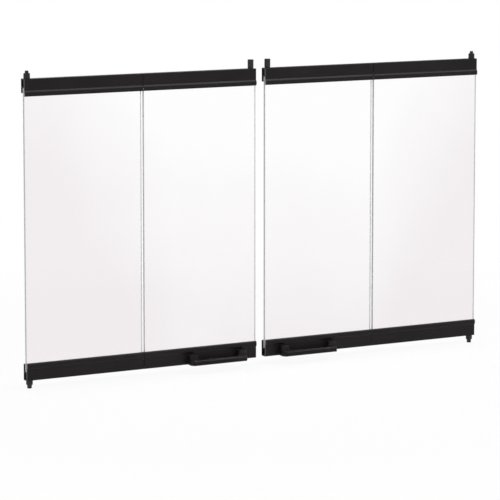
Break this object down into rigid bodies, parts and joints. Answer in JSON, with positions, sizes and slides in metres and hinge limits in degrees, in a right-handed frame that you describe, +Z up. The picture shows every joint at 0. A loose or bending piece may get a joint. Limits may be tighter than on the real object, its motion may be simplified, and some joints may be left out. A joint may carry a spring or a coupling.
{
  "type": "fireplace glass door",
  "caption": "Bi-fold fireplace glass door set: frameless clear panes in black top and bottom rails, with sprung pivots, guide pins, back hinges and pull handles.",
  "frame": {"origin": "on the left pair's pivot axis, at the shoulder of its bottom pivot pin, where the fireplace's floor bracket carries it", "axes": "+X to the right along the opening as seen from the room, +Y into the fireplace, +Z up along the pivot axes"},
  "size_m": [0.914, 0.0435, 0.5437],
  "materials": {
    "satin_black_rail": "satin black powder coat on aluminium extrusion",
    "satin_black_handle": "semi-gloss black",
    "black_hinge": "satin black steel",
    "clear_glass": "clear tempered glass with ground edges",
    "grey_glazing": "grey glazing channel",
    "black_steel": "blackened steel",
    "zinc_steel": "zinc plated",
    "spring_steel": "plated spring wire",
    "black_nylon": "moulded black nylon"
  },
  "bodies": {
    "jamb_pivots": {"left_bottom_pivot_pin": "black_steel", "left_height_nut": "black_steel", "left_lock_nut": "black_steel", "left_thrust_washer": "black_nylon", "right_bottom_pivot_pin": "black_steel", "right_height_nut": "black_steel", "right_lock_nut": "black_steel", "right_thrust_washer": "black_nylon"},
    "left_outer_panel": {"left_outer_glass": "clear_glass", "left_outer_glazing": "grey_glazing", "left_outer_top_rail": "satin_black_rail", "left_outer_bottom_rail": "satin_black_rail", "left_top_pivot_housing": "black_nylon", "left_bottom_pivot_housing": "black_nylon", "left_outer_housing_screws": "zinc_steel", "left_outer_top_hinge_leaf": "black_hinge", "left_outer_bottom_hinge_leaf": "black_hinge", "left_hinge_pins": "zinc_steel", "left_outer_hinge_screws": "zinc_steel", "left_top_pivot_spring": "spring_steel"},
    "left_top_plunger": {"left_top_pivot_plunger": "black_steel"},
    "left_inner_panel": {"left_inner_glass": "clear_glass", "left_inner_glazing": "grey_glazing", "left_inner_top_rail": "satin_black_rail", "left_inner_bottom_rail": "satin_black_rail", "left_guide_housing": "black_nylon", "left_guide_pin": "black_steel", "left_inner_housing_screw": "zinc_steel", "left_inner_top_hinge_leaf": "black_hinge", "left_inner_bottom_hinge_leaf": "black_hinge", "left_inner_hinge_screws": "zinc_steel", "left_handle": "satin_black_handle", "left_handle_screws": "zinc_steel"},
    "left_guide_roller": {"left_guide_sleeve": "black_steel"},
    "right_outer_panel": {"right_outer_glass": "clear_glass", "right_outer_glazing": "grey_glazing", "right_outer_top_rail": "satin_black_rail", "right_outer_bottom_rail": "satin_black_rail", "right_top_pivot_housing": "black_nylon", "right_bottom_pivot_housing": "black_nylon", "right_outer_housing_screws": "zinc_steel", "right_outer_top_hinge_leaf": "black_hinge", "right_outer_bottom_hinge_leaf": "black_hinge", "right_hinge_pins": "zinc_steel", "right_outer_hinge_screws": "zinc_steel", "right_top_pivot_spring": "spring_steel"},
    "right_top_plunger": {"right_top_pivot_plunger": "black_steel"},
    "right_inner_panel": {"right_inner_glass": "clear_glass", "right_inner_glazing": "grey_glazing", "right_inner_top_rail": "satin_black_rail", "right_inner_bottom_rail": "satin_black_rail", "right_guide_housing": "black_nylon", "right_guide_pin": "black_steel", "right_inner_housing_screw": "zinc_steel", "right_inner_top_hinge_leaf": "black_hinge", "right_inner_bottom_hinge_leaf": "black_hinge", "right_inner_hinge_screws": "zinc_steel", "right_handle": "satin_black_handle", "right_handle_screws": "zinc_steel"},
    "right_guide_roller": {"right_guide_sleeve": "black_steel"}
  },
  "joints": [
    {"name": "left_swing", "type": "hinge", "parent": "jamb_pivots", "child": "left_outer_panel", "pos_m": [0, 0, 0.0074], "axis": [0, 0, -1], "range_deg": [0, 88]},
    {"name": "left_fold", "type": "hinge", "parent": "left_outer_panel", "child": "left_inner_panel", "pos_m": [0.21625, 0.00975, 0.0206], "axis": [0, 0, 1], "range_deg": [0, 176]},
    {"name": "left_pivot_retract", "type": "slide", "parent": "left_outer_panel", "child": "left_top_plunger", "axis": [0, 0, -1], "range_m": [0, 0.004], "stiffness_N_per_m": 1200, "springref_m": -0.006, "deforming": ["left_top_pivot_spring"]},
    {"name": "left_guide_roll", "type": "hinge", "parent": "left_inner_panel", "child": "left_guide_roller", "pos_m": [0.4325, 0, 0.5214], "axis": [0, 0, 1], "continuous": true},
    {"name": "right_swing", "type": "hinge", "parent": "jamb_pivots", "child": "right_outer_panel", "pos_m": [0.899, 0, 0.0074], "axis": [0, 0, 1], "range_deg": [0, 88]},
    {"name": "right_fold", "type": "hinge", "parent": "right_outer_panel", "child": "right_inner_panel", "pos_m": [0.68275, 0.00975, 0.0206], "axis": [0, 0, -1], "range_deg": [0, 176]},
    {"name": "right_pivot_retract", "type": "slide", "parent": "right_outer_panel", "child": "right_top_plunger", "axis": [0, 0, -1], "range_m": [0, 0.004], "stiffness_N_per_m": 1200, "springref_m": -0.006, "deforming": ["right_top_pivot_spring"]},
    {"name": "right_guide_roll", "type": "hinge", "parent": "right_inner_panel", "child": "right_guide_roller", "pos_m": [0.4665, 0, 0.5214], "axis": [0, 0, 1], "continuous": true}
  ],
  "couplings": [
    {"joint": "left_fold", "follows": "left_swing", "ratio": 2},
    {"joint": "right_fold", "follows": "right_swing", "ratio": 2}
  ]
}
